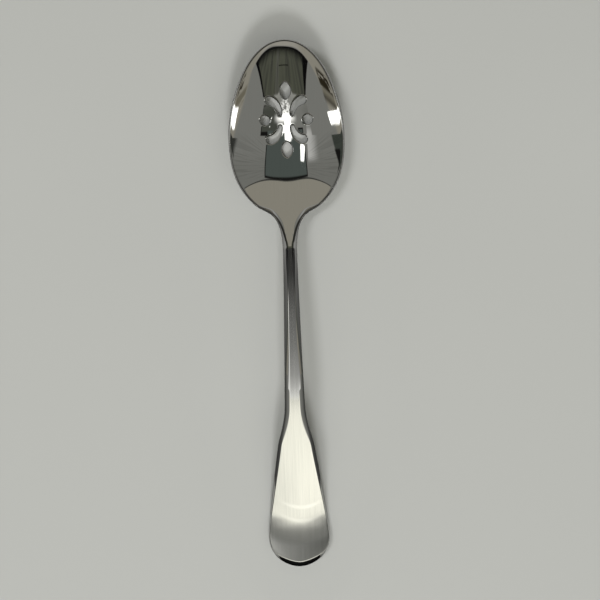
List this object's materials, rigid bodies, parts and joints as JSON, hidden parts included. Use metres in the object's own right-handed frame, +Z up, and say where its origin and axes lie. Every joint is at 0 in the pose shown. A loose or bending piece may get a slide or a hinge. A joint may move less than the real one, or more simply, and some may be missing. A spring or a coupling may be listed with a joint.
{
  "type": "pierced serving spoon",
  "caption": "One-piece steel serving spoon: oval bowl with a pierced drain pattern, arched stem and flat fiddle-shaped handle end",
  "frame": {"origin": "The middle of the small flat under the bowl on which the spoon rests, on the table's surface.", "axes": "+Y runs along the spoon to the bowl's tip and -Y to the handle's end, +Z is up out of the bowl, +X is to the right with the bowl pointing away."},
  "size_m": [0.0474, 0.2163, 0.0163],
  "materials": {
    "steel": "mirror-polished bowl and side walls, satin top face on the handle"
  },
  "bodies": {
    "root": {"pierced_spoon": "steel"}
  },
  "joints": []
}
